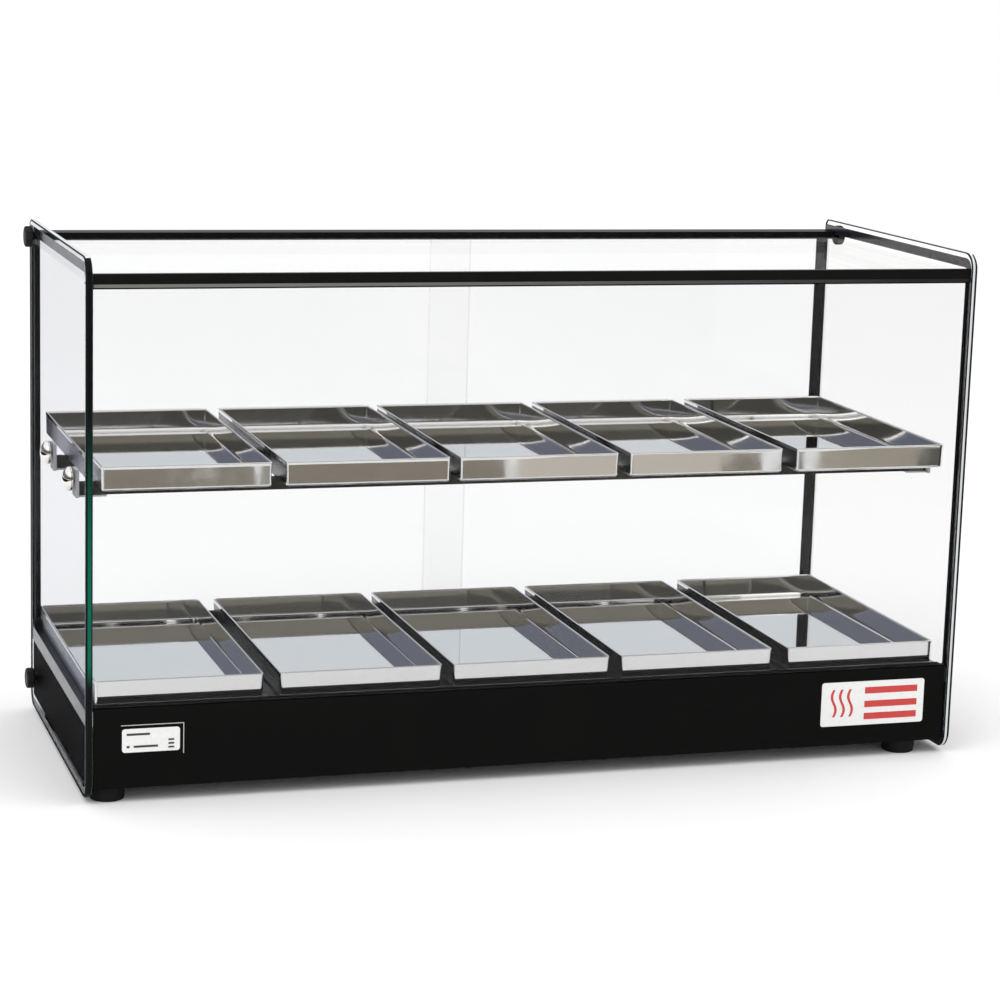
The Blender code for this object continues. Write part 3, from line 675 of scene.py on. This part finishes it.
def make_glass_knobs(stuff):
    core = [(0.0, -14.0), (2.5, -14.0), (2.5, 0.3), (7.5, 0.3)]
    grip = [(7.5, 0.3), (9.2, 0.3), (9.9, 1.0), (10.0, 2.0), (10.0, 6.2), (9.6, 7.2), (8.6, 7.8), (7.6, 8.0)]
    face = [(7.6, 8.0), (7.0, 7.5), (0.0, 7.3)]
    for level in ("top", "bottom"):
        for side, sign in (("left", -1), ("right", 1)):
            node = f"glass_knob_{level}_{side}"
            low, high = box_mm(node)
            centre = (low + high) / 2
            base = ((high.x if sign > 0 else low.x) - sign * 8.0, centre.y, centre.z)
            bm = bmesh.new()
            add_turned(bm, core, base, (sign, 0, 0))
            add_turned(bm, grip, base, (sign, 0, 0), steps=144, flutes=36, flute_depth=0.35)
            add_turned(bm, face, base, (sign, 0, 0), steps=144)
            finish_piece(f"knurled_{node}", bm, [stuff["plastic"]], "case", [node], 35)


def make_feet(stuff):
    for corner in ("front_left", "front_right", "rear_left", "rear_right"):
        node = f"foot_{corner}"
        low, high = box_mm(node)
        centre = (low + high) / 2
        top = high.z - low.z
        profile = [(0.0, 6.0), (4.6, 6.0), (5.0, 5.6), (5.0, 0.5), (5.5, 0.0), (14.2, 0.0), (15.0, 0.4)]
        profile += [(15.3, 1.2), (16.0, top - 2.0), (15.8, top - 0.8), (15.2, top), (0.0, top)]
        bm = bmesh.new()
        add_turned(bm, profile, (centre.x, centre.y, low.z), (0, 0, 1))
        finish_piece(f"moulded_{node}", bm, [stuff["rubber"]], "case", [node], 35)


def make_door_pulls(stuff):
    lip = [(13.5, -2.2), (13.9, -2.7), (14.4, -2.8), (19.2, -2.8), (19.8, -2.6), (20.0, -2.25), (16.8, -2.25)]
    lip += [(16.8, 2.25), (20.0, 2.25), (19.8, 2.6), (19.2, 2.8), (14.4, 2.8), (13.9, 2.7), (13.5, 2.2)]
    for side in ("left", "right"):
        node = f"door_pull_{side}"
        low, high = box_mm(node)
        centre = (low + high) / 2
        bm = bmesh.new()
        add_turned(bm, lip + lip[:1], centre, (0, 1, 0), steps=96)
        finish_piece(f"ring_{node}", bm, [stuff["plastic"]], f"door_{side}", [node], 35)


# ---------------------------------------------------------------- labels


def make_label_prints(stuff):
    low, high = box_mm("label_plate_left")
    face = low.y - 0.05
    bm = bmesh.new()
    width, height = high.x - low.x, high.z - low.z
    for left, right, level in ((0.08, 0.48, 0.76), (0.20, 0.62, 0.24), (0.08, 0.13, 0.24)):
        z = low.z + level * height
        add_box(bm, (low.x + left * width, face - 0.1, z - 1.0), (low.x + right * width, face, z + 1.0))
    for i in range(3):
        z = low.z + (0.16 + 0.16 * i) * height
        add_box(bm, (low.x + 0.80 * width, face - 0.1, z - 0.8), (low.x + 0.90 * width, face, z + 0.8))
    finish_piece("rating_label_bars", bm, [stuff["black_print"]], "case")

    bm = bmesh.new()
    bar, edge, drop = 0.8, high.x + 3.7, low.z - 3.0
    add_box(bm, (low.x - 1.0, face - 0.3, high.z + 3.0), (edge, face + 0.1, high.z + 3.0 + bar), bevel=0.1)
    add_box(bm, (edge - bar, face - 0.3, drop), (edge, face + 0.1, high.z + 3.0 + bar / 2), bevel=0.1)
    finish_piece("rating_label_trim", bm, [stuff["zinc"]], "case")

    low, high = box_mm("label_plate_right")
    face = low.y - 0.05
    bm = bmesh.new()
    (start, end), half = CAUTION_BAR
    for z in CAUTION_LEVELS:
        add_box(bm, (start, face - PRINT, z - half), (end, face, z + half), bevel=0.04)
    finish_piece("caution_label_bars", bm, [stuff["red_print"]], "case")
    bm = bmesh.new()
    for centre_x in WAVE_PLACES:
        add_heat_wave(bm, centre_x, *WAVE_LEVELS, face)
    finish_piece("caution_label_waves", bm, [stuff["red_print"]], "case")


def add_heat_wave(bm, centre_x, bottom, top, face, half=1.3, swing=2.2, steps=20):
    """One wavy upright line, the plain sign for a warm surface."""
    rows = []
    for i in range(steps + 1):
        share = i / steps
        x = centre_x + swing * math.sin(2 * math.pi * share)
        z = bottom + (top - bottom) * share
        corners = ((x - half, face - 0.1), (x + half, face - 0.1), (x + half, face), (x - half, face))
        rows.append([bm.verts.new((px, py, z)) for px, py in corners])
    bridge(bm, rows)
    bm.faces.new(rows[0])
    bm.faces.new(rows[-1])


def make_dial_prints(stuff):
    """Plain tick marks round the thermostat dial, and a white line on its pointer."""
    low, high = box_mm("thermostat_knob")
    centre_x, centre_z = (low.x + high.x) / 2, (low.z + high.z) / 2
    face = box_mm("control_panel")[1].y
    bm = bmesh.new()
    for i in range(DIAL_TICKS):
        turn = Matrix.Rotation(-math.radians(DIAL_TURN * i / (DIAL_TICKS - 1)), 3, "Y")
        start = len(bm.verts)
        add_box(bm, (-0.45, face + 0.02, TICK_START), (0.45, face + 0.02 + PRINT, TICK_ENDS[i % 2]))
        bm.verts.ensure_lookup_table()
        for vert in bm.verts[start:]:
            vert.co = turn @ vert.co + Vector((centre_x, 0.0, centre_z))
    finish_piece("dial_scale_ticks", bm, [stuff["white_print"]], "case")
    bm = bmesh.new()
    far = high.y + PRINT
    add_box(bm, (centre_x - 0.6, high.y, centre_z + 2.0), (centre_x + 0.6, far, centre_z + 12.5))
    finish_piece("dial_pointer_line", bm, [stuff["white_print"]], "thermostat_dial")


def make_rail_strip(stuff):
    low, high = box_mm("front_top_rail")
    bm = bmesh.new()
    add_box(bm, (low.x + 0.5, low.y - 0.2, 459.7), (high.x - 0.5, low.y + 0.4, 462.6), bevel=0.15)
    finish_piece("rail_seal_strip", bm, [stuff["seal"]], "case")


# ---------------------------------------------------------------- CAD nodes that stay


def paint_cad_nodes(stuff):
    groups = {
        "black_aluminium": (
            "front_top_rail", "rear_top_rail", "rear_bottom_track", "rear_post_left", "rear_post_right"
        ),
        "paint": ("base_shell", "bottom_cover", "control_panel"),
        "deck": ("base_deck",),
        "rail": ("shelf_rail_front", "shelf_rail_rear"),
        "bracket": tuple(f"shelf_bracket_{p}_{s}" for p in ("front", "rear") for s in ("left", "right")),
        "plastic": ("thermostat_knob", "thermostat_body", "cable_gland", "switch_housing", "switch_rocker"),
        "zinc": ("cover_screw_left", "cover_screw_right", "heating_element"),
        "aluminium": ("heat_reflector", "element_bracket_left", "element_bracket_right"),
        "ceramic": ("terminal_block",),
        "lens": ("pilot_lamp",),
        "label": ("label_plate_left", "label_plate_right"),
    }
    for key, names in groups.items():
        for name in names:
            mesh = NODES[name].data
            mesh.materials.clear()
            mesh.materials.append(stuff[key])


# ---------------------------------------------------------------- stage


def stage_plane(name, corners, material, only_reflected=False):
    """A flat stage surface, in metres. only_reflected keeps it out of all but reflections."""
    mesh = bpy.data.meshes.new(name)
    mesh.from_pydata(corners, [], [tuple(range(len(corners)))])
    mesh.materials.append(material)
    plane = bpy.data.objects.new(name, mesh)
    bpy.context.scene.collection.objects.link(plane)
    if only_reflected:
        plane.visible_camera = False
        plane.visible_diffuse = False
        plane.visible_transmission = False
        plane.visible_shadow = False
    return plane


def card_material(name, colour, strength=1.0):
    material, nodes, surface = new_material(name)
    inputs = {"Color": rgba(colour), "Strength": strength}
    nodes.put(surface, nodes.add("ShaderNodeEmission", inputs))
    return material


def make_stage():
    floor = principled(
        "floor_paper",
        Base_Color=lambda n: mottle(n, 3.0, (0.90, 0.90, 0.90), (0.91, 0.91, 0.91), 2.0),
        Roughness=0.9,
        Specular_IOR_Level=0.1,
    )
    size = 12.0
    stage_plane("floor", [(-size, -size, 0), (size, -size, 0), (size, size, 0), (-size, size, 0)], floor)

    # What the fronts of the upper trays reflect lies on the floor ahead of the cabinet: brown for
    # the two at the left, then beige with a brown patch, and dark at the right end. Each outline
    # runs along the near side, and the far side is far off.
    wide_brown = ((-4.0, -1.24), (-0.19, -1.26), (-0.12, -1.275), (-0.07, -1.30), (-0.02, -1.275))
    wide_brown += ((0.0, -1.33), (0.03, -1.24), (0.24, -1.25), (0.30, -1.26), (0.335, -1.29))
    wide_brown += ((0.36, -1.37),)
    blotch = ((0.66, -1.32), (0.68, -1.28), (0.71, -1.29), (0.73, -1.33), (0.745, -1.34), (0.765, -1.25))
    cards = (
        (FLOOR_BROWN, wide_brown),
        (FLOOR_BEIGE, ((0.36, -1.37), (0.36, -1.10), (0.66, -1.10), (0.66, -1.30))),
        (FLOOR_BROWN, blotch),
        (FLOOR_BROWN, ((0.765, -1.28), (0.78, -1.31), (0.80, -1.36))),
        (FLOOR_TAN, ((0.80, -1.36), (0.80, -1.10), (0.955, -1.10), (0.955, -1.26))),
        (FLOOR_DARK, ((0.955, -1.36), (0.965, -1.31), (0.975, -1.10), (4.0, -1.10))),
    )
    level = 0.001
    for i, (colour, near) in enumerate(cards):
        far = [(near[-1][0] + 0.9, -6.0), (near[0][0] + (0.9 if i else 0.0), -6.0)]
        corners = [(x, y, level) for x, y in (*near, *far)]
        stage_plane(f"floor_card_{i}", corners, card_material(f"floor_card_{i}", colour), True)
    left = [(-6.0, -1.2, level), (-1.25, -1.2, level), (-1.25, 3.0, level), (-6.0, 3.0, level)]
    stage_plane("floor_card_left", left, card_material("floor_card_left", FLOOR_FAR), True)


def make_world():
    """White all round, apart from what the polished steel shows: a darker room behind the camera."""
    world = bpy.data.worlds.new("studio")
    world.use_nodes = True
    world.node_tree.nodes.clear()
    nodes = Nodes(world.node_tree)
    output = world.node_tree.nodes.new("ShaderNodeOutputWorld")
    way = nodes.add("ShaderNodeTexCoord", output="Generated")
    across, along, rise = (
        nodes.add("ShaderNodeSeparateXYZ", {"Vector": way}, output=axis) for axis in "XYZ"
    )
    white = rgba((1.15, 1.15, 1.15))
    room = nodes.mix(nodes.ramp(rise, *ROOM_STEP, smooth=True), rgba(ROOM_LOW), rgba(ROOM_HIGH))
    front = nodes.mix(nodes.ramp(rise, *FRONT_TOP, smooth=True), room, white)
    azimuth = nodes.maths("ARCTAN2", across, along)
    left = nodes.ramp(azimuth, math.radians(-4), math.radians(-8), smooth=True)
    screen = nodes.mix(left, rgba(REAR_RIGHT), rgba(REAR_LEFT))
    rear = nodes.mix(nodes.ramp(rise, *REAR_TOP, smooth=True), screen, white)
    room_all = nodes.mix(nodes.ramp(along, 0.12, 0.30, smooth=True), front, rear)
    glossy = nodes.add("ShaderNodeLightPath", output="Is Glossy Ray")
    seen = nodes.maths(
        "MAXIMUM",
        nodes.add("ShaderNodeLightPath", output="Is Camera Ray"),
        nodes.add("ShaderNodeLightPath", output="Is Transmission Ray"),
    )
    plain = nodes.mix(seen, rgba((1.2, 1.2, 1.2)), rgba((1.0, 1.0, 1.0)))
    colour = nodes.mix(glossy, plain, room_all)
    nodes.put(output.inputs["Surface"], nodes.add("ShaderNodeBackground", {"Color": colour}))
    bpy.context.scene.world = world


def area_light(name, place, target, size, power):
    light = bpy.data.lights.new(name, "AREA")
    light.shape = "RECTANGLE"
    light.size, light.size_y = size
    light.energy = power
    lamp = bpy.data.objects.new(name, light)
    lamp.location = place
    lamp.rotation_euler = (Vector(target) - Vector(place)).to_track_quat("-Z", "Y").to_euler()
    bpy.context.scene.collection.objects.link(lamp)


def make_camera():
    yaw, pitch, roll = (math.radians(a) for a in (CAMERA_YAW, CAMERA_PITCH, CAMERA_ROLL))
    ahead = Vector((math.sin(yaw) * math.cos(pitch), math.cos(yaw) * math.cos(pitch), math.sin(pitch)))
    side = Vector((math.cos(yaw), -math.sin(yaw), 0.0))
    above = side.cross(ahead)
    right = side * math.cos(roll) + above * math.sin(roll)
    up = above * math.cos(roll) - side * math.sin(roll)
    data = bpy.data.cameras.new("camera")
    data.lens = CAMERA_LENS
    data.shift_x, data.shift_y = CAMERA_SHIFT
    camera = bpy.data.objects.new("camera", data)
    turn = Matrix((right, up, -ahead)).transposed()
    camera.matrix_world = Matrix.Translation(CAMERA_PLACE) @ turn.to_4x4()
    bpy.context.scene.collection.objects.link(camera)
    bpy.context.scene.camera = camera


stuff = make_materials()
paint_cad_nodes(stuff)
make_side_glass(stuff)
make_flat_panes(stuff)
make_trays(stuff)
make_studs(stuff)
make_glass_knobs(stuff)
make_feet(stuff)
make_door_pulls(stuff)
make_rail_strip(stuff)
make_label_prints(stuff)
make_dial_prints(stuff)
make_stage()
make_world()
area_light("key_light", (-1.8, -1.6, 2.6), (0, 0, 0.2), (1.6, 1.2), 18)
area_light("fill_light", (2.2, -1.2, 2.2), (0, 0, 0.2), (1.6, 1.2), 8)
make_camera()
bpy.context.scene.view_settings.view_transform = "Standard"
